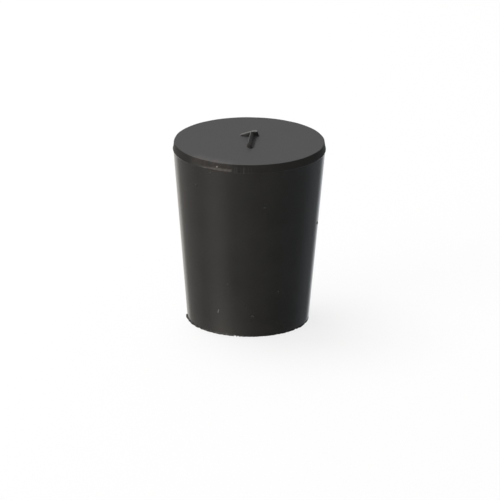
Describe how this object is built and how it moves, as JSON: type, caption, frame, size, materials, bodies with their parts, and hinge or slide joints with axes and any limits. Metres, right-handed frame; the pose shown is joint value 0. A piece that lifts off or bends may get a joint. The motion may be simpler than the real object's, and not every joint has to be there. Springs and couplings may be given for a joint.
{
  "type": "rubber stopper",
  "caption": "Solid black rubber laboratory stopper: a tapered plug with the wide end up, a narrow drafted rim above its parting line and a raised size numeral.",
  "frame": {"origin": "centre of the narrow end, on the surface that the stopper stands on", "axes": "+Z along the taper towards the wide end; the size numeral reads upright from -Y"},
  "size_m": [0.0164, 0.0164, 0.0205],
  "materials": {
    "black_rubber": "smooth satin wall, matt rim and wide end"
  },
  "bodies": {
    "root": {"stopper": "black_rubber"}
  },
  "joints": []
}
